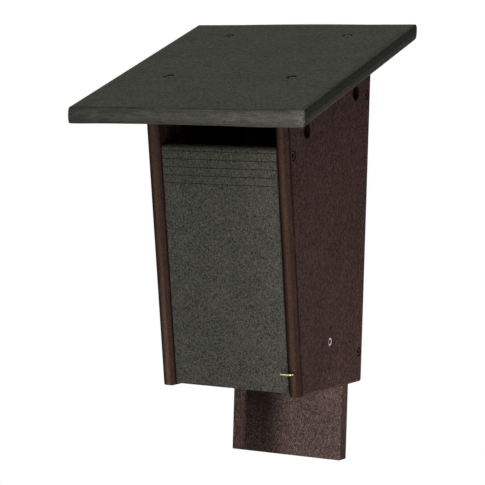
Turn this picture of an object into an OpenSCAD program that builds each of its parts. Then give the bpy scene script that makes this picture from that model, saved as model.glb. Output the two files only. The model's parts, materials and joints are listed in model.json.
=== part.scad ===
// Bluebird house with a slot entrance, built from half-inch plastic lumber.
// The origin is on the mounting plane, in the middle, level with the feet of the side panels.
// +X is to the right as the door is faced, +Y points into the post or wall, and +Z is up.

/* [Boards] */
// Thickness of every board
board_t = 12.7; // [10:0.1:16]
// Radius of the roundover on the front edge of a side panel
panel_r = 4; // [1:0.1:5]
// Radius of the roundover on the foot of a side panel
foot_r = 3.2; // [1:0.1:4]
// Radius of the roundover along the edges of the roof board
roof_r = 1.5; // [0.5:0.1:3]
// Radius of the roof board's corners, seen from above
roof_corner_r = 0.8; // [0.4:0.1:3]
// Radius of the roundover along the top of the door
door_top_r = 4; // [1:0.1:5]
// Radius of the small roundover on the other board edges
soft_r = 1.2; // [0.5:0.1:2]

/* [Body] */
// Clear width between the side panels
inner_w = 113.6; // [95:0.1:140]
// Depth of a side panel at the height of its rear foot corner
foot_depth = 126.5; // [105:0.5:150]
// Depth of a side panel at the top of its front edge
top_depth = 172; // [150:0.5:200]
// Height of the top of a side panel's front edge
front_h = 250; // [210:0.5:290]
// How much lower the front corner of a side panel's foot is than its rear corner
foot_drop = 2.2; // [0.5:0.1:6]
// Length of the back board below the side panels
tail = 73.6; // [40:0.1:110]

/* [Roof] */
// Slope of the roof in degrees
roof_pitch = 21; // [12:0.5:28]
// How far the roof runs out in front of the side panels
front_eave = 52.4; // [30:0.1:70]
// How far the roof runs out past each side panel
side_eave = 44.1; // [20:0.1:60]

/* [Door] */
// Height of the entrance slot, along the front edge of a side panel
slot_h = 37.6; // [28:0.1:45]
// Gap between the door and each side panel
door_gap = 0.5; // [0.5:0.1:2]
// How far the door lies behind the front edges of the side panels
door_recess = 2.2; // [0:0.1:4]
// How far the door reaches down past the lower end of its frame's height
door_foot = 0.4; // [0:0.1:5]
// Distance of the pivot screws below the top of the door
pivot_drop = 6.9; // [6:0.1:12]
// Number of grip grooves across the outside of the door
groove_count = 5; // [2:1:8]
// Distance from one grip groove to the next
groove_pitch = 7.15; // [4:0.05:9]
// Distance of the first grip groove below the top of the door
groove_top = 4.35; // [3:0.05:10]
// Width of a grip groove
groove_w = 1; // [0.6:0.1:2]
// Depth of a grip groove
groove_depth = 0.8; // [0.4:0.1:1.5]
// Number of ladder kerfs across the inside of the door
kerf_count = 7; // [3:1:10]
// Distance from one ladder kerf to the next
kerf_pitch = 12.7; // [9:0.1:16]
// Distance of the first ladder kerf below the top of the door
kerf_top = 24; // [18:0.5:40]
// Width of a ladder kerf
kerf_w = 2; // [1:0.1:3]
// Depth of a ladder kerf
kerf_depth = 1.6; // [0.8:0.1:2.5]

/* [Floor] */
// Height of the underside of the floor
floor_z = 35.9; // [15:0.1:50]
// Gap between the front edge of the floor and the closed door
floor_gap = 1.5; // [0.5:0.1:4]
// Length of the drain notch at each corner of the floor
drain = 9.5; // [5:0.5:15]

/* [Vents] */
// Diameter of the air vents
vent_d = 12.7; // [8:0.1:16]
// Distance of the front vent behind the top of a side panel's front edge
vent_front = 41.7; // [30:0.1:50]
// Distance of the front vent below the roof, straight down
vent_front_drop = 37.1; // [25:0.1:50]
// Distance of the rear vent in front of the mounting plane
vent_rear = 31.8; // [22:0.1:45]
// Distance of the rear vent below the roof, straight down
vent_rear_drop = 38.9; // [25:0.1:50]

/* [Screws] */
// Diameter of the screw heads
head_d = 8.2; // [7:0.1:9]
// Diameter of the screw shanks
shank_d = 4.2; // [3.5:0.1:5]
// Length of the screws
screw_len = 32; // [25:1:38]
// Depth of a screw head below the face of its board
head_sink = 0.4; // [0.1:0.1:1]
// Width of the square drive recess in a screw head
drive_w = 2.6; // [2:0.1:3]
// Distance of the roof screws outside the inner face of a side panel
roof_screw_in = 3.7; // [3.5:0.1:6]
// Distance of the front roof screws behind the top of a side panel's front edge
roof_screw_front = 27; // [15:0.1:35]
// Distance of the rear roof screws in front of the mounting plane
roof_screw_rear = 34.5; // [25:0.1:50]
// Distance of the back board screws in front of the mounting plane
back_screw_in = 8; // [4.5:0.1:8.2]
// Height of the lower back board screws
back_screw_low = 28.5; // [12:0.1:40]
// Distance of the upper back board screws below the roof
back_screw_drop = 51.4; // [30:0.1:70]
// Distance of the floor screws in front of the back board
floor_screw_out = 56.7; // [30:0.1:65]

/* [Latch] */
// Diameter of the latch hook's wire
wire_d = 2.4; // [2:0.1:3.5]
// Height of the latch hook along the front edge of the side panel
latch_up = 19.2; // [15:0.1:40]
// Distance from the front edge of the side panel to the middle of the hook's arm
latch_out = 4; // [4:0.1:10]
// Reach of the hook's arm from the middle of its shank
latch_arm = 10.2; // [9:0.1:14]
// Bend radius at the middle of the wire
latch_bend = 2.4; // [2:0.1:3.5]
// Depth of the hook's shank in the side panel
latch_deep = 14; // [8:0.5:20]

/* [Hidden] */
$fn = 64;
// Radial clearance round a screw or a hook in its hole
hole_fit = 0.08;
// Overrun of a cutting shape past the face that it cuts
over = 1;
outer_w = inner_w + 2 * board_t;
side_x = outer_w / 2;
roof_w = outer_w + 2 * side_eave;
roof_front_y = -(top_depth + front_eave);
// Backward lean of the front edge from its top to its foot
lean = atan((top_depth - foot_depth) / front_h);
front_len = norm([top_depth - foot_depth, front_h]);
door_top = front_len - slot_h;
door_w = inner_w - 2 * door_gap;
pivot_up = door_top - pivot_drop;
roof_screw_x = inner_w / 2 + roof_screw_in;
head_h = (head_d - shank_d) / 2;
tip_h = shank_d;
tip_r = 0.3;
drive_depth = 1.8;
floor_mid = floor_z + board_t / 2;
roof_screw_ys = [roof_screw_front - top_depth, -roof_screw_rear];
back_screw_zs = [back_screw_low, under_roof(0) - back_screw_drop];
vents = [[vent_front - top_depth, vent_front_drop], [-vent_rear, vent_rear_drop]];

GREEN = [0.23, 0.25, 0.23];
BROWN = [0.24, 0.16, 0.15];
STEEL = [0.62, 0.6, 0.58];
BRASS = [0.8, 0.68, 0.35];

// Height of the roof's underside above a point at depth y
function under_roof(y) = front_h + (y + top_depth) * tan(roof_pitch);
// Height of the roof's top face above a point at depth y
function over_roof(y) = under_roof(y) + board_t / cos(roof_pitch);
// Depth of the closed door's inner face at height z
function door_inside_y(z) = -foot_depth - z * tan(lean) + (door_recess + board_t) / cos(lean);

function unit(v) = v / norm(v);

// Corner of an outline, trimmed back to where its round starts and ends
function trimmed(pts, i, r) =
    let (n = len(pts),
         p = pts[i],
         a = unit(pts[(i + n - 1) % n] - p),
         b = unit(pts[(i + 1) % n] - p),
         back = r / tan(acos(a * b) / 2))
    [p + back * a, p + back * b];

// Centre of the round at a corner of an outline
function round_centre(pts, i, r) =
    let (n = len(pts),
         p = pts[i],
         a = unit(pts[(i + n - 1) % n] - p),
         b = unit(pts[(i + 1) % n] - p))
    p + unit(a + b) * r / sin(acos(a * b) / 2);

// Convex outline with the same round at every corner
module rounded_outline(pts, r) {
    polygon([for (i = [0 : len(pts) - 1]) each trimmed(pts, i, r)]);
    for (i = [0 : len(pts) - 1])
        translate(round_centre(pts, i, r)) circle(r);
}

// Waste outside a roundover: it runs along +X, with the board on the -Y and -Z side of the edge
module roundover(length, r) {
    rotate([90, 0, 90])
        translate([0, 0, -over])
            linear_extrude(length + 2 * over)
                difference() {
                    translate([-r, -r]) square(r + over);
                    translate([-r, -r]) circle(r);
                }
}

// Roundovers on both faces of a board in the XY plane, along the outline's edge from a to b
module roll_edge(a, b, t, r) {
    run = a - b;
    for (face = [0, 1])
        translate([b.x, b.y, face * t])
            rotate(atan2(run.y, run.x))
                mirror([0, 0, 1 - face]) roundover(norm(run), r);
}

// Stands a board that is drawn as depth against height, its thickness along +X
module upright(x) {
    translate([x, 0, 0]) rotate([90, 0, 90]) children();
}

// Frame of the sloping front: +Z runs up the front edges, +Y runs into the house
module front_frame() {
    translate([0, -foot_depth, 0]) rotate([lean, 0, 0]) children();
}

// Screw with its head's top at the origin, pointing down
module screw() {
    difference() {
        rotate_extrude()
            polygon([[0, 0], [head_d / 2, 0], [shank_d / 2, -head_h], [shank_d / 2, tip_h - screw_len],
                     [tip_r, -screw_len], [0, -screw_len]]);
        translate([-drive_w / 2, -drive_w / 2, -drive_depth])
            cube([drive_w, drive_w, drive_depth + over]);
    }
}

// Countersunk hole for a screw, its mouth at the origin
module screw_hole() {
    shank_r = shank_d / 2 + hole_fit;
    head_r = head_d / 2 + hole_fit;
    end = -screw_len - over;
    rotate_extrude()
        polygon([[0, over], [head_r, over], [head_r, -head_sink], [shank_r, -head_sink - head_h],
                 [shank_r, end], [0, end]]);
}

module sunk_screw() {
    color(STEEL) translate([0, 0, -head_sink]) screw();
}

// Places of the screws: side is -1 on the left and 1 on the right
module at_roof_screw(side, y) {
    translate([side * roof_screw_x, y, over_roof(y)]) rotate([roof_pitch, 0, 0]) children();
}

module at_side(side, y, z) {
    translate([side * side_x, y, z]) rotate([0, side * 90, 0]) children();
}

module at_back_screw(side, z) {
    at_side(side, -back_screw_in, z) children();
}

module at_floor_screw(side) {
    at_side(side, -board_t - floor_screw_out, floor_mid) children();
}

module at_pivot(side) {
    front_frame()
        translate([side * side_x, door_recess + board_t / 2, pivot_up])
            rotate([0, side * 90, 0]) children();
}

// Place of the latch hook's shank, pointing out of the right side panel's front edge
module at_latch() {
    front_frame()
        translate([inner_w / 2 + board_t / 2, 0, latch_up])
            rotate([90, 0, 0]) children();
}

// The roof board is where three rounded outlines meet: from the side, along the slope and in plan
module roof_blank() {
    profile = [[0, under_roof(0)], [0, over_roof(0)],
               [roof_front_y, over_roof(roof_front_y)], [roof_front_y, under_roof(roof_front_y)]];
    across = [[-roof_w / 2, 0], [roof_w / 2, 0], [roof_w / 2, board_t], [-roof_w / 2, board_t]];
    plan = [[-roof_w / 2, roof_front_y], [roof_w / 2, roof_front_y], [roof_w / 2, 0], [-roof_w / 2, 0]];
    run = norm(profile[1] - profile[2]);
    intersection() {
        upright(-roof_w / 2) linear_extrude(roof_w) rounded_outline(profile, roof_r);
        translate([0, 0, under_roof(0)]) rotate([90 + roof_pitch, 0, 0])
            linear_extrude(3 * run, center = true) rounded_outline(across, roof_r);
        linear_extrude(over_roof(0) + over) rounded_outline(plan, roof_corner_r);
    }
}

module roof() {
    color(GREEN) difference() {
        roof_blank();
        for (side = [-1, 1], y = roof_screw_ys)
            at_roof_screw(side, y) screw_hole();
    }
}

// Side panel: side is -1 for the left one and 1 for the right one
module side_panel(side) {
    outline = [[0, 0], [0, under_roof(0)], [-top_depth, front_h],
               [-foot_depth + foot_drop * tan(lean), -foot_drop]];
    color(BROWN) difference() {
        upright(side > 0 ? inner_w / 2 : -side_x) difference() {
            linear_extrude(board_t) polygon(outline);
            roll_edge(outline[2], outline[3], board_t, panel_r);
            roll_edge(outline[3], outline[0], board_t, foot_r);
            roll_edge(outline[0], outline[1], board_t, soft_r);
        }
        for (vent = vents)
            at_side(side, vent.x, under_roof(vent.x) - vent.y)
                translate([0, 0, -board_t - over]) cylinder(h = board_t + 2 * over, d = vent_d);
        for (y = roof_screw_ys)
            at_roof_screw(side, y) screw_hole();
        for (z = back_screw_zs)
            at_back_screw(side, z) screw_hole();
        at_floor_screw(side) screw_hole();
        at_pivot(side) screw_hole();
    }
}

module left_side() {
    side_panel(-1);
}

module right_side() {
    difference() {
        side_panel(1);
        at_latch() translate([0, 0, -latch_deep - over])
            cylinder(h = latch_deep + 2 * over, d = wire_d + 2 * hole_fit);
    }
}

module back_board() {
    front_y = -board_t;
    outline = [[0, -tail], [0, under_roof(0)], [front_y, under_roof(front_y)], [front_y, -tail]];
    color(BROWN) difference() {
        upright(-inner_w / 2) difference() {
            linear_extrude(inner_w) polygon(outline);
            roll_edge(outline[0], outline[1], inner_w, soft_r);
            roll_edge(outline[2], outline[3], inner_w, soft_r);
            roll_edge(outline[3], outline[0], inner_w, soft_r);
        }
        for (side = [-1, 1], z = back_screw_zs)
            at_back_screw(side, z) screw_hole();
    }
}

module front_door() {
    inner_y = door_recess + board_t;
    color(GREEN) difference() {
        front_frame() difference() {
            translate([-door_w / 2, door_recess, -door_foot]) cube([door_w, board_t, door_top + door_foot]);
            for (face = [0, 1])
                translate([0, door_recess + face * board_t, 0]) mirror([0, 1 - face, 0]) {
                    translate([-door_w / 2, 0, door_top]) roundover(door_w, door_top_r);
                    translate([-door_w / 2, 0, -door_foot]) mirror([0, 0, 1]) roundover(door_w, soft_r);
                    for (side = [0, 1])
                        mirror([side, 0, 0]) translate([door_w / 2, 0, -door_foot])
                            rotate([0, -90, 0]) mirror([0, 0, 1]) roundover(door_top + door_foot, soft_r);
                }
            for (i = [0 : groove_count - 1])
                translate([-side_x, door_recess - over, door_top - groove_top - i * groove_pitch - groove_w / 2])
                    cube([2 * side_x, groove_depth + over, groove_w]);
            for (i = [0 : kerf_count - 1])
                translate([-side_x, inner_y - kerf_depth, door_top - kerf_top - i * kerf_pitch - kerf_w / 2])
                    cube([2 * side_x, kerf_depth + over, kerf_w]);
        }
        for (side = [-1, 1])
            at_pivot(side) screw_hole();
    }
}

module floor() {
    back_y = -board_t;
    low_y = door_inside_y(floor_z) + floor_gap;
    high_y = door_inside_y(floor_z + board_t) + floor_gap;
    profile = [[back_y, floor_z], [back_y, floor_z + board_t], [high_y, floor_z + board_t], [low_y, floor_z]];
    color(BROWN) difference() {
        upright(-inner_w / 2) linear_extrude(inner_w) polygon(profile);
        for (side = [-1, 1], y = [back_y, high_y])
            translate([side * inner_w / 2, y, floor_z - over])
                rotate(45) cube([drain * sqrt(2), drain * sqrt(2), 2 * (board_t + 2 * over)], center = true);
        for (side = [-1, 1])
            at_floor_screw(side) screw_hole();
    }
}

module latch_hook() {
    straight = latch_out - latch_bend;
    color(BRASS) at_latch() {
        translate([0, 0, -latch_deep]) cylinder(h = latch_deep + straight, d = wire_d);
        translate([-latch_bend, 0, straight]) rotate([90, 0, 0])
            rotate_extrude(angle = 90) translate([latch_bend, 0]) circle(d = wire_d);
        translate([-latch_arm, 0, latch_out]) rotate([0, 90, 0]) cylinder(h = latch_arm - latch_bend, d = wire_d);
    }
}

module roof_screw_front_left() {
    at_roof_screw(-1, roof_screw_ys[0]) sunk_screw();
}

module roof_screw_front_right() {
    at_roof_screw(1, roof_screw_ys[0]) sunk_screw();
}

module roof_screw_rear_left() {
    at_roof_screw(-1, roof_screw_ys[1]) sunk_screw();
}

module roof_screw_rear_right() {
    at_roof_screw(1, roof_screw_ys[1]) sunk_screw();
}

module back_screw_upper_left() {
    at_back_screw(-1, back_screw_zs[1]) sunk_screw();
}

module back_screw_upper_right() {
    at_back_screw(1, back_screw_zs[1]) sunk_screw();
}

module back_screw_lower_left() {
    at_back_screw(-1, back_screw_zs[0]) sunk_screw();
}

module back_screw_lower_right() {
    at_back_screw(1, back_screw_zs[0]) sunk_screw();
}

module floor_screw_left() {
    at_floor_screw(-1) sunk_screw();
}

module floor_screw_right() {
    at_floor_screw(1) sunk_screw();
}

module pivot_screw_left() {
    at_pivot(-1) sunk_screw();
}

module pivot_screw_right() {
    at_pivot(1) sunk_screw();
}

roof();
left_side();
right_side();
back_board();
front_door();
floor();
latch_hook();
roof_screw_front_left();
roof_screw_front_right();
roof_screw_rear_left();
roof_screw_rear_right();
back_screw_upper_left();
back_screw_upper_right();
back_screw_lower_left();
back_screw_lower_right();
floor_screw_left();
floor_screw_right();
pivot_screw_left();
pivot_screw_right();
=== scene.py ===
"""Looks of the bluebird house: camera, lights and the materials of its boards, screws and hook.

The roof board and the screws are skinned anew: the board is slightly out of true, as in the photograph, and
the screws have threads and drives."""
import json
import math

import bmesh
import bpy
from mathutils import Matrix, Vector

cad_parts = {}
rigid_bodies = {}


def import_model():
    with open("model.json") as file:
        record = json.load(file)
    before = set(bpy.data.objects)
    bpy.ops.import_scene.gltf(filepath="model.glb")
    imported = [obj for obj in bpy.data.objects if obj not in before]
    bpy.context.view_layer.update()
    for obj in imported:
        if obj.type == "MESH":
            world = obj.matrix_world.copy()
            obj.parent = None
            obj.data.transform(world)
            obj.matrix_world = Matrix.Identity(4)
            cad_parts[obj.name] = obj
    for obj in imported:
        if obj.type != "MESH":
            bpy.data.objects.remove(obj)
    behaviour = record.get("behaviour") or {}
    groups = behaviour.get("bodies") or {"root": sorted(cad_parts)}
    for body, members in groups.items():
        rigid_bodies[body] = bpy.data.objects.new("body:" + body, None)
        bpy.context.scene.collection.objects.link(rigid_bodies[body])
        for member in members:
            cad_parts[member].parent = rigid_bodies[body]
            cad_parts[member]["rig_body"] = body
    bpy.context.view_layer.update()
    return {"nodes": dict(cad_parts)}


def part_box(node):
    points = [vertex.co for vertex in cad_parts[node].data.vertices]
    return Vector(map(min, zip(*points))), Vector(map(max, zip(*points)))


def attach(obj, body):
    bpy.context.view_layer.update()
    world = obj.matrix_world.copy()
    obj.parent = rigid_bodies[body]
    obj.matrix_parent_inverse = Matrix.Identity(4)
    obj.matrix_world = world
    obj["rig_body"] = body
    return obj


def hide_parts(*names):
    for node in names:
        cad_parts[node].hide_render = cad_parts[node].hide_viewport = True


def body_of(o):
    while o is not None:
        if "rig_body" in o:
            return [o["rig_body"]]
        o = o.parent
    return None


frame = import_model()

MM = 0.001
IMAGE_PX = 485
SENSOR_MM = 36.0

# Directions in the house's own frame
RIGHT = (1, 0, 0)
LEFT = (-1, 0, 0)
FORWARD = (0, -1, 0)
REARWARD = (0, 1, 0)
UP = (0, 0, 1)
DOWN = (0, 0, -1)

# Camera, as found from the boards' edges in the photograph
CAMERA_AZIMUTH = 27.755
CAMERA_ELEVATION = 3.012
CAMERA_ROLL = 1.647
CAMERA_DISTANCE = 1.7013
CAMERA_TARGET = Vector((-0.0029, -0.1060, 0.1288))
FOCAL_PX = 1908.57

# Sizes of the boards, which the pieces and the materials follow
BOARD = 12.7 * MM
INNER_HALF = 56.8 * MM
OUTER_HALF = INNER_HALF + BOARD
FOOT_DEPTH = 126.5 * MM
TOP_DEPTH = 172 * MM
FRONT_HEIGHT = 250 * MM
FOOT_DROP = 2.2 * MM
FRONT_FOOT = Vector((0, -FOOT_DEPTH, 0))
FRONT_LEAN = math.atan((TOP_DEPTH - FOOT_DEPTH) / FRONT_HEIGHT)
FRONT_AXIS = Vector((0, -math.cos(FRONT_LEAN), -math.sin(FRONT_LEAN)))
FOOT_SLOPE = FOOT_DROP / FOOT_DEPTH
VENT_RADIUS = 6.35 * MM
VENTS = ((-130.3 * MM, 228.907 * MM), (-31.8 * MM, 264.918 * MM))
ROOF_PITCH = math.radians(21)
ROOF_UP = Vector((0, -math.sin(ROOF_PITCH), math.cos(ROOF_PITCH)))
ROOF_ALONG = Vector((0, math.cos(ROOF_PITCH), math.sin(ROOF_PITCH)))
ROOF_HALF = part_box("roof")[1][0]
ROOF_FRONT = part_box("roof")[0][1]
ROOF_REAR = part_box("roof")[1][1]
ROOF_FRONT_LOW = FRONT_HEIGHT + (ROOF_FRONT + TOP_DEPTH) * math.tan(ROOF_PITCH)

# Countersunk holes
HEAD_RADIUS = 4.1 * MM
HEAD_FIT = 0.1 * MM
# The painted shade in them lies a little to their rear and low
HOLE_SHADE_SHIFT = Vector((0, 0.35 * MM, -0.2 * MM))

# What the surface of every moulded board shows, and how much of it is left where a surface is calm
CLOUD_SIZE = 28 * MM
FINE_SIZE = 0.9 * MM
SPECK_PITCH = 2.6 * MM
PIT_PITCH = 3.4 * MM
CALM_SHARE = 0.45
BOARD_ROUGHNESS = 0.7
ROUGHNESS_SPREAD = 0.12
# Tones of a board: its ground, its light flecks and its dark pits
GREEN_TONES = ((0.047, 0.0465, 0.0385), (0.100, 0.100, 0.088), (0.014, 0.014, 0.012))
BROWN_TONES = ((0.051, 0.0295, 0.0255), (0.105, 0.073, 0.067), (0.014, 0.008, 0.007))
BACK_TONES = ((0.053, 0.0345, 0.030), (0.16, 0.118, 0.105), BROWN_TONES[2])
# Tint of the panels' front edges, tones of the painted shade in the countersunk holes and of the ground
FRONT_TINT = (1.0, 0.96, 0.86)
ROOF_HOLE_SHADE = (0.006, 0.006, 0.005)
PANEL_HOLE_SHADE = (0.005, 0.003, 0.003)
GROUND_TONES = ((0.80, 0.80, 0.80), (0.84, 0.84, 0.84))


def direction(azimuth, elevation):
    """Unit vector from the house towards a point seen at these angles.

    Azimuth 0 is straight in front of the door and 90 is to its right."""
    az, el = math.radians(azimuth), math.radians(elevation)
    return Vector((math.sin(az) * math.cos(el), -math.cos(az) * math.cos(el), math.sin(el)))


def add_camera():
    back = direction(CAMERA_AZIMUTH, CAMERA_ELEVATION)
    right = (-back).cross(Vector(UP)).normalized()
    up = right.cross(-back)
    roll = math.radians(CAMERA_ROLL)
    tilted_right = math.cos(roll) * right + math.sin(roll) * up
    tilted_up = -math.sin(roll) * right + math.cos(roll) * up
    data = bpy.data.cameras.new("camera")
    data.sensor_width = SENSOR_MM
    data.lens = FOCAL_PX / IMAGE_PX * SENSOR_MM
    data.clip_end = 50
    camera = bpy.data.objects.new("camera", data)
    bpy.context.scene.collection.objects.link(camera)
    place = Matrix((tilted_right, tilted_up, back)).transposed().to_4x4()
    place.translation = CAMERA_TARGET + back * CAMERA_DISTANCE
    camera.matrix_world = place
    bpy.context.scene.camera = camera


add_camera()


class Graph:
    """Builds one material from nodes."""

    def __init__(self, name):
        self.material = bpy.data.materials.new(name)
        self.material.use_nodes = True
        self.tree = self.material.node_tree
        self.shader = self.tree.nodes["Principled BSDF"]
        coords = self.tree.nodes.new("ShaderNodeTexCoord")
        self.place = coords.outputs["Object"]
        self.normal = coords.outputs["Normal"]

    def feed(self, socket, value):
        """Links a socket to another, or sets it to a number, a vector or a colour."""
        if isinstance(value, bpy.types.NodeSocket):
            self.tree.links.new(value, socket)
        elif isinstance(value, (tuple, list)) and len(value) == 3 and socket.type == "RGBA":
            socket.default_value = (*value, 1)
        else:
            socket.default_value = value

    def math(self, operation, a, b=0.0, c=0.0):
        node = self.tree.nodes.new("ShaderNodeMath")
        node.operation = operation
        for socket, value in zip(node.inputs, (a, b, c)):
            self.feed(socket, value)
        return node.outputs[0]

    def times(self, *values):
        result = values[0]
        for value in values[1:]:
            result = self.math("MULTIPLY", result, value)
        return result

    def highest(self, values):
        result = values[0]
        for value in values[1:]:
            result = self.math("MAXIMUM", result, value)
        return result

    def dot(self, vector, axis):
        node = self.tree.nodes.new("ShaderNodeVectorMath")
        node.operation = "DOT_PRODUCT"
        self.feed(node.inputs[0], vector)
        node.inputs[1].default_value = axis
        return node.outputs["Value"]

    def coordinate(self, axis):
        """How far a point of the surface lies along an axis of the object."""
        return self.dot(self.place, axis)

    def off_line(self, point, axis):
        """Distance from the line through a point along an axis."""
        away = self.tree.nodes.new("ShaderNodeVectorMath")
        away.operation = "SUBTRACT"
        self.feed(away.inputs[0], self.place)
        away.inputs[1].default_value = point
        cross = self.tree.nodes.new("ShaderNodeVectorMath")
        cross.operation = "CROSS_PRODUCT"
        self.feed(cross.inputs[0], away.outputs[0])
        cross.inputs[1].default_value = axis
        return self.length(cross.outputs[0])

    def length(self, vector):
        node = self.tree.nodes.new("ShaderNodeVectorMath")
        node.operation = "LENGTH"
        self.feed(node.inputs[0], vector)
        return node.outputs["Value"]

    def stretched(self, scale=(1, 1, 1), tilt=0.0, shift=(0, 0, 0)):
        """Object coordinates, turned back by a tilt about X and scaled along the turned axes."""
        turn = self.tree.nodes.new("ShaderNodeMapping")
        self.feed(turn.inputs["Vector"], self.place)
        turn.inputs["Rotation"].default_value = (-tilt, 0, 0)
        squeeze = self.tree.nodes.new("ShaderNodeMapping")
        self.feed(squeeze.inputs["Vector"], turn.outputs[0])
        squeeze.inputs["Scale"].default_value = scale
        squeeze.inputs["Location"].default_value = shift
        return squeeze.outputs[0]

    def noise(self, vector, size, detail, rough=0.5, distortion=0.0):
        """Noise with features of about this size in metres."""
        node = self.tree.nodes.new("ShaderNodeTexNoise")
        self.feed(node.inputs["Vector"], vector)
        node.inputs["Scale"].default_value = 1 / size
        node.inputs["Detail"].default_value = detail
        node.inputs["Roughness"].default_value = rough
        node.inputs["Distortion"].default_value = distortion
        return node.outputs[0]

    def cells(self, vector, size):
        """Distance from the nearest of points scattered about this far apart."""
        node = self.tree.nodes.new("ShaderNodeTexVoronoi")
        self.feed(node.inputs["Vector"], vector)
        node.inputs["Scale"].default_value = 1 / size
        return node.outputs["Distance"]

    def ramp(self, value, low, high, start=0.0, end=1.0):
        """Smooth change from start to end as the value goes from low to high."""
        node = self.tree.nodes.new("ShaderNodeMapRange")
        node.interpolation_type = "SMOOTHSTEP"
        for socket, given in zip(node.inputs, (value, low, high, start, end)):
            self.feed(socket, given)
        return node.outputs[0]

    def band(self, value, middle, half, soft):
        """1 within half of the middle, falling to 0 over the soft width on both sides."""
        off = self.math("ABSOLUTE", self.math("SUBTRACT", value, middle))
        return self.ramp(off, half, half + soft, 1.0, 0.0)

    def mix(self, factor, a, b, blend="MIX"):
        node = self.tree.nodes.new("ShaderNodeMixRGB")
        node.blend_type = blend
        for socket, value in zip(node.inputs, (factor, a, b)):
            self.feed(socket, value)
        return node.outputs[0]

    def scaled(self, colour, factor):
        """Colour times a grey factor that may pass 1."""
        node = self.tree.nodes.new("ShaderNodeVectorMath")
        node.operation = "SCALE"
        self.feed(node.inputs[0], colour)
        self.feed(node.inputs["Scale"], factor)
        return node.outputs[0]

    def marked(self, colour, mask, factor):
        """Colour, times a factor as far as the mask goes."""
        return self.mix(mask, colour, self.scaled(colour, factor))

    def toned(self, colour, mask, factor):
        """Colour, times a fixed factor where the mask is 1, with the mask's rim eased."""
        return self.scaled(colour, self.ramp(mask, 0, 1, 1.0, factor))

    def bump(self, height, distance):
        node = self.tree.nodes.new("ShaderNodeBump")
        node.inputs["Distance"].default_value = distance
        self.feed(node.inputs["Height"], height)
        return node.outputs[0]


def facing(g, axis, low=0.55, high=0.85):
    """How squarely a surface faces along an axis of the object."""
    return g.ramp(g.dot(g.normal, axis), low, high)


def facing_sideways(g, low=0.55, high=0.85):
    """How squarely a surface faces to the left or to the right."""
    return g.math("MAXIMUM", facing(g, RIGHT, low, high), facing(g, LEFT, low, high))


def lumber(name, tones, seed, grain, fleck, size, pitted, tilt=0.0, along=1.0, upright=0.6, calm=None):
    """Moulded recycled plastic: mottled tone, worm-like flecks, pin specks and a matching fine relief.

    Size is the width of the flecks, and grain, fleck and pitted are the strengths of the mottle, the light
    specks and the dark pits. Along and upright squeeze the texture's coordinates, and where calm gives 1
    the texture is weaker. Returns the graph, the colour and the relief, for each board's own marks."""
    g = Graph(name)
    base, light, dark = tones
    strength = g.ramp(calm(g), 0, 1, 1.0, CALM_SHARE) if calm else 1.0
    field = g.stretched((along, 1, upright), tilt, (seed * 0.37, seed * 0.61, seed * 0.23))
    cloud = g.noise(field, CLOUD_SIZE, 3.0, 0.55)
    worm = g.noise(field, size, 2.5, 0.6, 1.6)
    fine = g.noise(field, FINE_SIZE, 2.0, 0.6, 0.5)
    texture = g.math("ADD", g.ramp(worm, 0.32, 0.68, -1, 1), g.ramp(fine, 0.3, 0.7, -0.6, 0.6))
    texture = g.times(texture, strength, grain * 0.3)
    colour = g.scaled(base, g.math("ADD", texture, g.ramp(cloud, 0.3, 0.7, 0.94, 1.06)))
    specks = g.ramp(g.cells(field, SPECK_PITCH), 0.12, 0.3, 1, 0)
    colour = g.mix(g.times(specks, g.ramp(worm, 0.45, 0.65), strength, fleck), colour, light)
    pins = g.ramp(g.cells(g.stretched(shift=(seed, 0, 0)), PIT_PITCH), 0.05, 0.18, 1, 0)
    pits = g.times(pins, g.ramp(worm, 0.42, 0.55, 1, 0), strength)
    colour = g.mix(g.times(pits, pitted), colour, dark)
    relief = g.math("ADD", worm, g.times(fine, 0.5))
    relief = g.math("SUBTRACT", relief, g.times(pits, 0.6))
    return g, colour, relief


def finish_board(g, colour, relief, depth=0.12 * MM, specular=0.02):
    """Connects a board's colour and relief to its shader, a little rougher in the hollows."""
    rough = g.ramp(relief, 0.4, 1.1, BOARD_ROUGHNESS + ROUGHNESS_SPREAD, BOARD_ROUGHNESS - ROUGHNESS_SPREAD)
    g.feed(g.shader.inputs["Base Color"], colour)
    g.feed(g.shader.inputs["Roughness"], rough)
    g.shader.inputs["Specular IOR Level"].default_value = specular
    g.feed(g.shader.inputs["Normal"], g.bump(relief, depth))
    return g.material


def screw_frame(name):
    """Centre of a screw's head face and the axis out of it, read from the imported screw."""
    if name.startswith("roof"):
        out = ROOF_UP
    else:
        out = Vector(RIGHT if name.endswith("right") else LEFT)
    points = [Vector(v.co) for v in frame["nodes"][name].data.vertices]
    top = max(p.dot(out) for p in points)
    rim = [p for p in points if p.dot(out) > top - 0.05 * MM]
    centre = Vector([(min(p[k] for p in rim) + max(p[k] for p in rim)) / 2 for k in range(3)])
    return centre, out


SCREWS = {name: screw_frame(name) for name in frame["nodes"] if "_screw_" in name}


def screw_hole_shade(g, names):
    """Mask of the painted shade in the countersunk holes of these screws: 1 over them, falling to 0 just
    outside.
    """
    spots = []
    for name in names:
        centre, out = SCREWS[name]
        off = g.off_line(centre + HOLE_SHADE_SHIFT, out)
        spots.append(g.ramp(off, HEAD_RADIUS + 0.2 * MM, HEAD_RADIUS + 0.6 * MM, 1, 0))
    return g.highest(spots)


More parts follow.
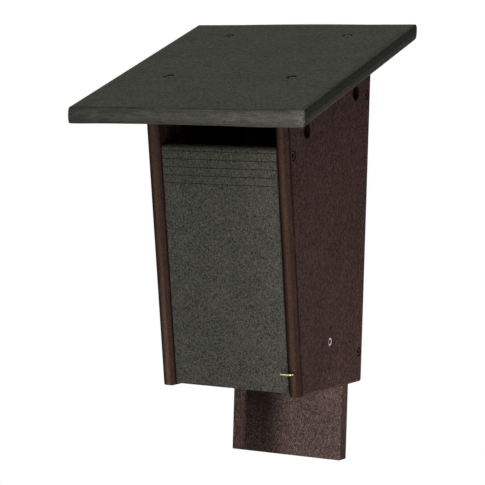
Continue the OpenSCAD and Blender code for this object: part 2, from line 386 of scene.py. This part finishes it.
def sawn_front_and_painted_light(g):
    """Tone of the roof's sawn front edge: streaks along it and chips at the right corner, with painted
    light that grows towards the right corner and painted shade at the lower rim, the top and the right end.
    """
    x, z = g.coordinate(RIGHT), g.coordinate(UP)
    streak = g.noise(g.stretched((0.14, 1, 1)), 2.2 * MM, 3.0, 0.6, 0.8)
    # Painted light: paler towards the right, more so near the corner
    painted_light_rise = g.math("ADD", g.ramp(x, -160 * MM, 160 * MM, 0.8, 1.45), g.ramp(x, 85 * MM, 112 * MM, 0, 0.17))
    # Pale chips by the right corner, which also serve as a painted highlight there
    chips = g.ramp(g.noise(g.stretched((1.6, 1, 0.6)), 1.3 * MM, 2.0), 0.4, 0.6)
    corner = g.times(g.ramp(x, 101 * MM, 108 * MM), chips, 0.7)
    sawn = g.math("ADD", g.times(g.ramp(streak, 0.3, 0.7, 0.75, 1.25), painted_light_rise), corner)
    # Painted shade over the last millimetre before the right end
    end = g.ramp(x, ROOF_HALF - 1.2 * MM, ROOF_HALF - 0.2 * MM, 1.0, 0.45)
    # Painted shade and light across the height: dark at the lower rim, brightest just below the middle, a
    # little darker at the top
    middle = ROOF_FRONT_LOW + 8 * MM
    low = g.ramp(z, ROOF_FRONT_LOW, middle, 0.72, 1.12)
    high = g.ramp(z, middle, ROOF_FRONT_LOW + 14.5 * MM, 1.0, 0.8)
    return g.times(sawn, end, low, high)


def front_top_dark_lines(g):
    """Two broken dark lines on the top face just behind its front edge: painted shade of the crease where
    the front rounding runs out, and a second line further back.
    """
    start = Vector((0, ROOF_FRONT, ROOF_FRONT_LOW)).dot(ROOF_ALONG) + BOARD * math.tan(ROOF_PITCH)
    reach = g.math("SUBTRACT", g.coordinate(ROOF_ALONG), start)
    first = g.ramp(g.noise(g.stretched((0.12, 1, 1)), 4 * MM, 2.0), 0.42, 0.55)
    second = g.ramp(g.noise(g.stretched((0.1, 1, 1), shift=(0.3, 0, 0)), 4 * MM, 2.0), 0.48, 0.6)
    lines = g.math("MAXIMUM", g.times(g.band(reach, 1.4 * MM, 0.3 * MM, 0.5 * MM), first),
                   g.times(g.band(reach, 6.5 * MM, 0.4 * MM, 0.6 * MM), second))
    return g.times(lines, facing(g, ROOF_UP))


def roof_material():
    g, colour, relief = lumber("roof_board", GREEN_TONES, seed=1, grain=1.1, fleck=0.25, size=1.7 * MM,
                               pitted=0.25, tilt=ROOF_PITCH, along=0.6, upright=1.0,
                               calm=lambda g: facing(g, FORWARD))
    colour = g.scaled(colour, 1.14)
    colour = g.marked(colour, facing(g, FORWARD), sawn_front_and_painted_light(g))
    # Painted shade: the side edges are darker, most in their upper half, where their slight crown turns
    # them from the light
    low_corner = Vector((0, ROOF_FRONT, ROOF_FRONT_LOW)).dot(ROOF_UP)
    height = g.math("SUBTRACT", g.coordinate(ROOF_UP), low_corner)
    colour = g.marked(colour, facing_sideways(g), g.ramp(height, 5 * MM, 7.5 * MM, 0.62, 0.32))
    # The top face dulls a little before its right edge
    by_edge = g.ramp(g.coordinate(RIGHT), ROOF_HALF - 9 * MM, ROOF_HALF - 3 * MM)
    colour = g.toned(colour, g.times(by_edge, facing(g, ROOF_UP)), 0.84)
    # Painted shade along the crease behind the front edge
    colour = g.mix(g.times(front_top_dark_lines(g), 0.6), colour, GREEN_TONES[2])
    # Painted shade in the countersunk holes of the roof screws
    hole_shade = screw_hole_shade(g, [name for name in SCREWS if name.startswith("roof")])
    colour = g.mix(g.times(hole_shade, 0.8), colour, ROOF_HOLE_SHADE)
    return finish_board(g, colour, relief)


def door_material():
    g, colour, relief = lumber("door_board", GREEN_TONES, seed=2, grain=2.0, fleck=1.0, size=1.25 * MM,
                               pitted=0.0, tilt=FRONT_LEAN, upright=0.75)
    # Painted light: the right side is a little paler, most near the top
    x, z = g.coordinate(RIGHT), g.coordinate(UP)
    painted_light = g.times(g.ramp(x, 0.0, 50 * MM), g.ramp(z, 50 * MM, 200 * MM, 0.14, 0.3))
    colour = g.scaled(colour, g.math("ADD", 1.03, painted_light))
    return finish_board(g, colour, relief, depth=0.16 * MM)


def panel_front(g):
    """How squarely a panel's surface faces out of its leaning front edge."""
    return facing(g, FRONT_AXIS, 0.2, 0.6)


def front_edge_painted_light(g):
    """Tone across the panels' front edges: painted shade on the left corner, a painted highlight along a
    ridge, a plain right side.
    """
    x, z = g.coordinate(RIGHT), g.coordinate(UP)
    right = g.math("GREATER_THAN", x, 0.0)
    across = g.math("ADD", x, g.math("MULTIPLY_ADD", right, -INNER_HALF - OUTER_HALF, OUTER_HALF))
    low_left = g.times(g.math("SUBTRACT", 1.0, right), g.ramp(z, 20 * MM, 100 * MM, 0.35, 0.0))
    middle = g.math("MULTIPLY_ADD", right, -0.4 * MM, 7.1 * MM)
    # Painted highlight along the ridge, stronger low on the left panel
    painted_highlight = g.times(g.band(across, middle, 0.9 * MM, 2.2 * MM), g.math("ADD", 0.4, low_left))
    # Painted shade on the left corner of each front edge
    corner_shade = g.ramp(across, 0.5 * MM, 5.2 * MM, g.math("MULTIPLY_ADD", right, -0.2, 0.38), 1.0)
    # Painted shade low on the right panel's front edge
    low_right = g.times(right, g.ramp(z, 100 * MM, 200 * MM, 0.17, 0.0))
    streak = g.noise(g.stretched((1, 1, 0.03), FRONT_LEAN), 2.2 * MM, 3.0, 0.55, 0.2)
    return g.times(g.math("ADD", 0.84, painted_highlight), corner_shade, g.math("SUBTRACT", 1.0, low_right),
                   g.ramp(streak, 0.32, 0.68, 0.82, 1.18))


def panel_material():
    g, colour, relief = lumber("side_board", BROWN_TONES, seed=3, grain=1.8, fleck=0.55, size=1.8 * MM,
                               pitted=0.3, calm=panel_front)
    front = panel_front(g)
    colour = g.marked(colour, front, front_edge_painted_light(g))
    colour = g.mix(front, colour, FRONT_TINT, "MULTIPLY")
    # Painted shade: a dark line along the crease where the front roundover runs out on the side faces
    side = facing_sideways(g, 0.5, 0.8)
    inward = g.math("SUBTRACT", FRONT_FOOT.dot(FRONT_AXIS), g.coordinate(FRONT_AXIS))
    broken = g.ramp(g.noise(g.stretched((1, 1, 0.2), FRONT_LEAN), 5 * MM, 2.0), 0.3, 0.5, 0.4, 1.0)
    run_out = 3.25 * MM
    line = g.times(g.band(inward, run_out, 0.8 * MM, 0.9 * MM), side, broken, 0.85)
    colour = g.mix(line, colour, BROWN_TONES[2])
    # Painted light: a paler band along the feet, where their rounding faces down
    above = g.math("ADD", g.coordinate((0, -FOOT_SLOPE, 1)), 0.4 * MM)
    foot_painted_light = g.times(g.ramp(above, 2.4 * MM, 3.4 * MM, 1, 0), side)
    colour = g.toned(colour, foot_painted_light, 1.45)
    # Painted shade under the front ends of the feet
    under = g.times(facing(g, DOWN, 0.15, 0.6), g.ramp(inward, 5 * MM, 9 * MM, 1.0, 0.0))
    colour = g.toned(colour, under, 0.45)
    # Painted light: the lower rear of a side face is a little paler
    painted_light = g.times(g.ramp(g.coordinate(UP), 20 * MM, 140 * MM, 0.2, 0.0),
                   g.ramp(g.coordinate(REARWARD), -100 * MM, -30 * MM), side)
    colour = g.scaled(colour, g.math("ADD", 1.0, painted_light))
    # Painted shade: inner faces and the vents' bores are darker
    off_middle = g.math("ABSOLUTE", g.coordinate(RIGHT))
    inner = g.times(g.ramp(off_middle, INNER_HALF + 0.3 * MM, INNER_HALF + 1.5 * MM, 1, 0), side,
                    g.ramp(inward, 3 * MM, 6 * MM))
    off_vents = [g.off_line((0, y, z), RIGHT) for y, z in VENTS]
    bore_shade = g.highest([g.ramp(off, VENT_RADIUS, VENT_RADIUS + 0.5 * MM, 1, 0) for off in off_vents])
    colour = g.toned(colour, inner, 0.5)
    colour = g.toned(colour, bore_shade, 0.3)
    # Painted shade in the countersunk holes of the side screws
    names = [name for name in SCREWS if name.endswith("right") and not name.startswith("roof")]
    colour = g.mix(g.times(screw_hole_shade(g, names), 0.85), colour, PANEL_HOLE_SHADE)
    return finish_board(g, colour, relief, depth=0.1 * MM, specular=0.005)


def tail_painted_light(g):
    """Painted light and shade on the tail: a plain strip at its left edge, a dark run of painted shade, and
    painted light to the right and the top.
    """
    x, z = g.coordinate(RIGHT), g.coordinate(UP)
    strip = g.ramp(x, -47 * MM, -41 * MM, 1.1, g.ramp(z, -60 * MM, -12 * MM, 0.5, 0.27))
    top_right = g.times(g.ramp(x, 15 * MM, 50 * MM), g.ramp(z, -42 * MM, -6 * MM, 0.0, 0.7))
    upper = g.math("ADD", g.ramp(z, -62 * MM, -8 * MM, 0.95, 1.3), top_right)
    right = g.times(g.ramp(x, -23 * MM, 8 * MM, 0.0, 1.35), g.ramp(x, 25 * MM, 52 * MM, 1.0, 0.85), upper)
    return g.math("ADD", strip, right)


def back_material():
    g, colour, relief = lumber("back_board", BACK_TONES, seed=4, grain=2.1, fleck=1.0, size=1.5 * MM,
                               pitted=0.3)
    z = g.coordinate(UP)
    # Painted light and shade on the front of the tail
    tail = g.times(g.ramp(z, -2 * MM, 8 * MM, 1, 0), facing(g, FORWARD))
    colour = g.marked(colour, tail, tail_painted_light(g))
    colour = g.marked(colour, facing(g, RIGHT), g.ramp(z, -66 * MM, -8 * MM, 0.75, 1.35))
    return finish_board(g, colour, relief, depth=0.14 * MM)


def floor_material():
    g, colour, relief = lumber("floor_board", BROWN_TONES, seed=5, grain=1.0, fleck=0.3, size=2.2 * MM,
                               pitted=0.5, upright=1.0)
    return finish_board(g, colour, relief)


SCRATCH_DEPTH = 0.03 * MM


def metal(name, base, worn, rough, seed, metallic=1.0, cover=0.5, specular=0.5, painted_dark_top=None):
    """Metal with fine drawn scratches and patches of a second tone, and painted shade on its upward faces
    where given.
    """
    g = Graph(name)
    shift = (seed * 0.5, seed * 0.3, seed * 0.7)
    patch = g.noise(g.stretched(shift=shift), 2.4 * MM, 3.0, 0.6)
    drawn = g.noise(g.stretched((1, 0.15, 1), shift=shift), 0.35 * MM, 2.0, 0.5)
    colour = g.mix(g.ramp(patch, 0.42, 0.66, 0, cover), base, worn)
    if painted_dark_top is not None:
        colour = g.mix(facing(g, UP, -0.1, 0.35), colour, painted_dark_top)
    uneven = g.math("ADD", patch, g.times(drawn, 0.5))
    g.feed(g.shader.inputs["Base Color"], colour)
    g.feed(g.shader.inputs["Roughness"], g.ramp(uneven, 0.5, 1.0, rough - 0.08, rough + 0.14))
    g.shader.inputs["Metallic"].default_value = metallic
    g.shader.inputs["Specular IOR Level"].default_value = specular
    g.feed(g.shader.inputs["Normal"], g.bump(drawn, SCRATCH_DEPTH))
    return g.material


PANEL = panel_material()
MATERIALS = {
    "roof": roof_material(),
    "left_side": PANEL,
    "right_side": PANEL,
    "back_board": back_material(),
    "front_door": door_material(),
    "floor": floor_material(),
    # The hook's upward faces are darkened: painted shade
    "latch_hook": metal("hook_brass", base=(0.70, 0.66, 0.36), worn=(0.32, 0.28, 0.11), rough=0.3, seed=6,
                        painted_dark_top=(0.06, 0.05, 0.008)),
}
STEEL = metal("stainless_screw", base=(0.34, 0.30, 0.28), worn=(0.16, 0.13, 0.12), rough=0.34, seed=7)
COATED = metal("coated_screw", base=(0.050, 0.030, 0.026), worn=(0.075, 0.052, 0.046), rough=0.6, seed=8,
               metallic=0.0, cover=0.35, specular=0.01)
COATED_GREEN = metal("coated_roof_screw", base=(0.062, 0.061, 0.053), worn=(0.26, 0.255, 0.23), rough=0.6,
                     seed=9, metallic=0.0, cover=0.9, specular=0.01)
# Painted shade: a near-black material for the faces inside the screws' drives
DRIVE_SHADE = metal("drive_shade", base=(0.008, 0.006, 0.005), worn=(0.014, 0.010, 0.009), rough=0.8, seed=10,
              metallic=0.0, specular=0.01)
for name in SCREWS:
    if name.startswith("floor"):
        MATERIALS[name] = STEEL
    else:
        MATERIALS[name] = COATED_GREEN if name.startswith("roof") else COATED
for name, node in frame["nodes"].items():
    for spot in node.material_slots:
        spot.material = MATERIALS[name]


SHARP_ANGLE = math.radians(40)


def add_piece(name, shape, materials, stands_for):
    """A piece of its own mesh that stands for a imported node, on the same body."""
    mesh = bpy.data.meshes.new(name)
    shape.to_mesh(mesh)
    shape.free()
    mesh.set_sharp_from_angle(angle=SHARP_ANGLE)
    piece = bpy.data.objects.new(name, mesh)
    bpy.context.scene.collection.objects.link(piece)
    for finish in materials:
        mesh.materials.append(finish)
    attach(piece, body_of(frame["nodes"][stands_for])[0])
    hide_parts(stands_for)
    return piece


def loft(shape, rings, capped=True):
    """Skin over rings of points of equal count, closed by a face at each end if capped."""
    loops = [[shape.verts.new(point) for point in ring] for ring in rings]
    count = len(loops[0])
    for below, above in zip(loops, loops[1:]):
        for k in range(count):
            after = (k + 1) % count
            face = shape.faces.new((below[k], below[after], above[after], above[k]))
            face.smooth = True
    if capped:
        shape.faces.new(loops[0][::-1])
        shape.faces.new(loops[-1])


# Screws: countersunk head with a square drive, plain neck, thread and point
COATED_HEAD = 3.55 * MM
NECK_END = 9 * MM
SCREW_LENGTH = 32 * MM
SHANK_RADIUS = 2.1 * MM
CORE_RADIUS = 1.5 * MM
NECK_RADIUS = 1.8 * MM
THREAD_RADIUS = 2.05 * MM
THREAD_PITCH = 2.0 * MM
RINGS_PER_TURN = 6
# Half the width of the thread's ridge as a share of its pitch, and the radius left at the point
RIDGE_HALF = 0.28
POINT_SHARE = 0.12
DRIVE_HALF = 1.65 * MM
DRIVE_DEPTH = 2.1 * MM
AROUND = 32


def turned(centre, out):
    """Matrix that stands a screw's +Z on its axis out of the board."""
    place = out.to_track_quat("Z", "Y").to_matrix().to_4x4()
    place.translation = centre
    return place


def circle(radius, depth, square=False):
    """Ring of points at a depth below the head's face, round or square."""
    ring = []
    for k in range(AROUND):
        a = 2 * math.pi * (k + 0.5) / AROUND
        reach = radius / max(abs(math.cos(a)), abs(math.sin(a))) if square else radius
        ring.append((reach * math.cos(a), reach * math.sin(a), -depth))
    return ring


def thread_ring(depth):
    """Ring through the thread: the radius swells where the helix passes, and fades to the point."""
    ring = []
    fade = min(1.0, (depth - NECK_END) / THREAD_PITCH, (SCREW_LENGTH - depth) / (2 * THREAD_PITCH))
    for k in range(AROUND):
        a = 2 * math.pi * (k + 0.5) / AROUND
        turn = (depth / THREAD_PITCH + a / (2 * math.pi)) % 1.0
        swell = max(0.0, 1 - abs(turn - 0.5) / RIDGE_HALF)
        radius = (CORE_RADIUS + (THREAD_RADIUS - CORE_RADIUS) * swell) * max(POINT_SHARE, fade)
        ring.append((radius * math.cos(a), radius * math.sin(a), -depth))
    return ring


def add_screw(name, head):
    """A screw from the bottom of its drive over the head's face and down its outside to the point."""
    cone = head - SHANK_RADIUS
    drive = [circle(0.3 * MM, DRIVE_DEPTH + 0.35 * MM), circle(DRIVE_HALF * 0.8, DRIVE_DEPTH, True),
             circle(DRIVE_HALF, 0.5 * MM, True), circle(DRIVE_HALF + 0.12 * MM, 0.22 * MM, True)]
    top = [circle(head * 0.73, 0.12 * MM), circle(head * 0.9, 0.0), circle(head * 0.97, 0.03 * MM),
           circle(head, 0.15 * MM)]
    neck = [circle(SHANK_RADIUS + 0.3 * MM, cone), circle(NECK_RADIUS, cone + 0.9 * MM),
            circle(NECK_RADIUS, NECK_END - 0.8 * MM)]
    threaded = SCREW_LENGTH - NECK_END
    steps = int(threaded / (THREAD_PITCH / RINGS_PER_TURN))
    thread = [thread_ring(NECK_END + threaded * (k + 1) / steps) for k in range(steps)]
    shape = bmesh.new()
    loft(shape, drive + top + neck + thread)
    # Faces inside the drive take the painted-shade material
    for face in shape.faces:
        middle = face.calc_center_median()
        inside = math.hypot(middle.x, middle.y) < DRIVE_HALF * 1.35
        if inside and -DRIVE_DEPTH - 0.4 * MM < middle.z < -0.3 * MM:
            face.material_index = 1
    bmesh.ops.transform(shape, matrix=turned(*SCREWS[name]), verts=shape.verts)
    bmesh.ops.recalc_face_normals(shape, faces=shape.faces)
    add_piece(name + "_turned", shape, [MATERIALS[name], DRIVE_SHADE], name)


# Roof board, whose side edges are crowned and which bows a little over the panels
EDGE_STEPS = 18
ROOF_COLUMNS = 40
ROOF_ROWS = 36
# The faces' columns end this far before the side edges, and the rows this far before the ends
EDGE_MARGIN = 7 * MM
END_REACH = 4 * MM
# How far each ring of an end face is drawn in towards its middle
END_RINGS = (1.0, 0.96, 0.8, 0.6, 0.46, 0.33, 0.22, 0.13, 0.06, 0.02, 0.0)
# An edge: its rounding in and up at the lower face, in and down at the upper face, and its crown
SIDE_ROUNDS = (2.6 * MM, 3.4 * MM, 2.1 * MM, 3.0 * MM, 0.45 * MM)
END_ROUNDS = (1.4 * MM, 3.4 * MM, 1.0 * MM, 2.2 * MM, 0.6 * MM)
CROWN_MIDDLE = 7.4 * MM
ARRIS = 0.8 * MM
BOW = 0.45 * MM
SEAT = 66 * MM
# How far the board is out of true: its top rises to the front, most at the right, and outside the
# panels its lower face sags or rises a little
TOP_RISE = 0.6 * MM
TOP_RISE_RIGHT = 1.4 * MM
UNDER_LEFT = -0.75 * MM
UNDER_FRONT_RIGHT = 0.4 * MM
UNDER_REAR_RIGHT = -0.95 * MM
# Shift of its front to the left, in the middle and how much more at the right
SKEW = 0.9 * MM
SKEW_RIGHT = 0.6 * MM
# The cutter of a hole starts this far above the face
CUTTER_REACH = 3 * MM


def bulge(height, low_in, low_up, top_in, top_up, crown):
    """How far an edge stands out at a height in the thickness: crowned, and rounded at both faces."""
    low = max(0.0, 1 - height / low_up)
    top = max(0.0, 1 - (BOARD - height) / top_up)
    swell = crown * (1 - ((height - CROWN_MIDDLE) / CROWN_MIDDLE) ** 2)
    return swell - low_in * (1 - math.sqrt(1 - low ** 2)) - top_in * (1 - math.sqrt(1 - top ** 2))


def eased(value):
    """0 up to 0, 1 from 1 on, and a smooth step between."""
    value = min(1.0, max(0.0, value))
    return value * value * (3 - 2 * value)


def roof_outline():
    """The board's outline seen from its front: across and up through its thickness, anticlockwise."""
    heights = [BOARD * (0.5 - 0.5 * math.cos(math.pi * k / EDGE_STEPS)) for k in range(EDGE_STEPS + 1)]
    inner = ROOF_HALF - EDGE_MARGIN
    across = [inner * (2 * k / ROOF_COLUMNS - 1) for k in range(ROOF_COLUMNS + 1)]
    right = [(ROOF_HALF + bulge(h, *SIDE_ROUNDS), h) for h in heights]
    left = [(-x, h) for x, h in reversed(right)]
    return [(x, 0.0) for x in across] + right + [(x, BOARD) for x in reversed(across)] + left


def drawn_in(outline, share):
    """The outline shrunk towards the line through the middle of the board's end."""
    rest = ROOF_HALF - BOARD / 2
    ring = []
    for x, h in outline:
        if abs(x) > rest:
            x += share * (math.copysign(rest, x) - x)
        ring.append((x, h + share * (BOARD / 2 - h)))
    return ring


def end_depth(x, height):
    """How far a point of an end face lies inside the board's length."""
    corner = min(1.0, max(0.0, 1 - (ROOF_HALF - abs(x)) / ARRIS))
    crown = END_ROUNDS[4]
    return crown - bulge(height, *END_ROUNDS) + ARRIS * (1 - math.sqrt(1 - corner ** 2))


def roof_point(x, y, height):
    """Place of a point of the roof board, given along its width, its depth and its thickness."""
    front = (ROOF_REAR - y) / (ROOF_REAR - ROOF_FRONT)
    outer = eased((abs(x) - SEAT) / (ROOF_HALF - SEAT))
    right = eased((x - SEAT / 2) / (ROOF_HALF - SEAT / 2))
    top = (TOP_RISE + TOP_RISE_RIGHT * right) * front
    if x < 0:
        under = outer * UNDER_LEFT * front
    else:
        under = outer * (UNDER_FRONT_RIGHT * front + UNDER_REAR_RIGHT * (1 - front))
    rise = under + (top - under) * height / BOARD + BOW * max(0.0, 1 - (x / SEAT) ** 2)
    shift = (SKEW + SKEW_RIGHT * x / ROOF_HALF) * front
    flat = ROOF_FRONT_LOW + (y - ROOF_FRONT) * math.tan(ROOF_PITCH)
    return x - shift, y, flat + height / math.cos(ROOF_PITCH) + rise


def roof_rings():
    """Rings of the board from the middle of its front end to the middle of its rear end."""
    outline = roof_outline()
    ends = [drawn_in(outline, share) for share in END_RINGS]
    first, last = ROOF_FRONT + END_REACH, ROOF_REAR - END_REACH
    rows = [first + (last - first) * k / ROOF_ROWS for k in range(ROOF_ROWS + 1)]
    front = [[roof_point(x, ROOF_FRONT + end_depth(x, h), h) for x, h in ring] for ring in ends]
    middle = [[roof_point(x, row, h) for x, h in outline] for row in rows]
    rear = [[roof_point(x, ROOF_REAR - end_depth(x, h), h) for x, h in ring] for ring in reversed(ends)]
    return front + middle + rear


def add_cutter(centre, out):
    """Closed solid of a countersunk hole, for cutting the roof board."""
    mouth, bore = HEAD_RADIUS + HEAD_FIT, SHANK_RADIUS + HEAD_FIT
    shape = bmesh.new()
    loft(shape, [circle(mouth, -CUTTER_REACH), circle(mouth, 0.0),
                 circle(bore, HEAD_RADIUS - SHANK_RADIUS), circle(bore, 2 * BOARD)])
    bmesh.ops.transform(shape, matrix=turned(centre, out), verts=shape.verts)
    bmesh.ops.recalc_face_normals(shape, faces=shape.faces)
    mesh = bpy.data.meshes.new("cutter")
    shape.to_mesh(mesh)
    shape.free()
    cutter = bpy.data.objects.new("cutter", mesh)
    bpy.context.scene.collection.objects.link(cutter)
    return cutter


def add_roof():
    """The skinned board with its screw holes cut out."""
    shape = bmesh.new()
    loft(shape, roof_rings(), capped=False)
    bmesh.ops.remove_doubles(shape, verts=shape.verts, dist=0.001 * MM)
    bmesh.ops.recalc_face_normals(shape, faces=shape.faces)
    roof = add_piece("roof_board", shape, [MATERIALS["roof"]], "roof")
    cutters = [add_cutter(*SCREWS[name]) for name in SCREWS if name.startswith("roof")]
    for cutter in cutters:
        cut = roof.modifiers.new("hole", "BOOLEAN")
        cut.operation = "DIFFERENCE"
        cut.solver = "EXACT"
        cut.object = cutter
    solid = bpy.data.meshes.new_from_object(roof.evaluated_get(bpy.context.evaluated_depsgraph_get()))
    roof.modifiers.clear()
    roof.data = solid
    for cutter in cutters:
        bpy.data.objects.remove(cutter)


add_roof()
for name in SCREWS:
    if name.startswith("floor"):
        add_screw(name, HEAD_RADIUS)
    else:
        add_screw(name, COATED_HEAD)

# Lamps: azimuth and elevation as seen from their target, distance, side of their square and power
LAMP_TARGET = Vector((0, -0.08, 0.15))
LAMPS = {
    "overhead": (50, 60, 1.5, 0.9, 8.6),
    "front_low": (30, -30, 0.65, 0.35, 2.05),
    "front_left": (-40, 0, 1.5, 0.9, 6.6),
    "front_right": (32, 19, 1.5, 0.9, 5),
    "side_low": (120, -25, 1.2, 0.6, 4.1),
    "rear_left": (-130, 10, 1.5, 0.9, 5),
    "rear": (-165, 10, 1.5, 0.9, 6),
}


def add_lamp(name, azimuth, elevation, distance, size, power):
    data = bpy.data.lights.new(name, "AREA")
    data.size = size
    data.energy = power
    lamp = bpy.data.objects.new(name, data)
    bpy.context.scene.collection.objects.link(lamp)
    towards = direction(azimuth, elevation)
    lamp.location = LAMP_TARGET + towards * distance
    lamp.rotation_euler = towards.to_track_quat("Z", "Y").to_euler()
    lamp.visible_camera = False


for name, values in LAMPS.items():
    add_lamp(name, *values)


# Backdrop, which is white to the eye and lights the house only weakly
BACKDROP_SEEN = (1, 1, 1, 1)
BACKDROP_LIGHT = (0.12, 0.12, 0.12, 1)
GROUND_RADIUS = 2.2
GROUND_PLACE = (0, -0.1, -0.60)
GROUND_ROUGHNESS = 0.9


def seen_rays(tree):
    """1 for rays that the camera sends, straight or over a glossy or clear surface, otherwise 0."""
    path = tree.nodes.new("ShaderNodeLightPath")
    result = path.outputs["Is Camera Ray"]
    for name in ("Is Glossy Ray", "Is Transmission Ray"):
        either = tree.nodes.new("ShaderNodeMath")
        either.operation = "MAXIMUM"
        tree.links.new(result, either.inputs[0])
        tree.links.new(path.outputs[name], either.inputs[1])
        result = either.outputs[0]
    return result


def add_ground():
    """Pale round floor below the house, fading to the white backdrop at its rim."""
    mesh = bpy.data.meshes.new("ground")
    shape = bmesh.new()
    bmesh.ops.create_circle(shape, cap_ends=True, segments=96, radius=GROUND_RADIUS)
    shape.to_mesh(mesh)
    shape.free()
    ground = bpy.data.objects.new("ground", mesh)
    bpy.context.scene.collection.objects.link(ground)
    ground.location = GROUND_PLACE
    g = Graph("ground")
    speck = g.noise(g.place, 20 * MM, 3.0, 0.5)
    g.feed(g.shader.inputs["Base Color"], g.mix(speck, *GROUND_TONES))
    g.shader.inputs["Roughness"].default_value = GROUND_ROUGHNESS
    out = g.ramp(g.length(g.place), 0.25 * GROUND_RADIUS, 0.9 * GROUND_RADIUS)
    blend = g.tree.nodes.new("ShaderNodeMixShader")
    glow = g.tree.nodes.new("ShaderNodeEmission")
    g.feed(blend.inputs[0], g.times(out, seen_rays(g.tree)))
    g.feed(blend.inputs[1], g.shader.outputs[0])
    g.feed(blend.inputs[2], glow.outputs[0])
    g.feed(g.tree.nodes["Material Output"].inputs["Surface"], blend.outputs[0])
    mesh.materials.append(g.material)


def add_world():
    world = bpy.data.worlds.new("world")
    bpy.context.scene.world = world
    world.use_nodes = True
    tree = world.node_tree
    mix = tree.nodes.new("ShaderNodeMixRGB")
    mix.inputs[1].default_value = BACKDROP_LIGHT
    mix.inputs[2].default_value = BACKDROP_SEEN
    tree.links.new(seen_rays(tree), mix.inputs[0])
    tree.links.new(mix.outputs[0], tree.nodes["Background"].inputs["Color"])


add_ground()
add_world()

bpy.context.scene.view_settings.view_transform = "Standard"
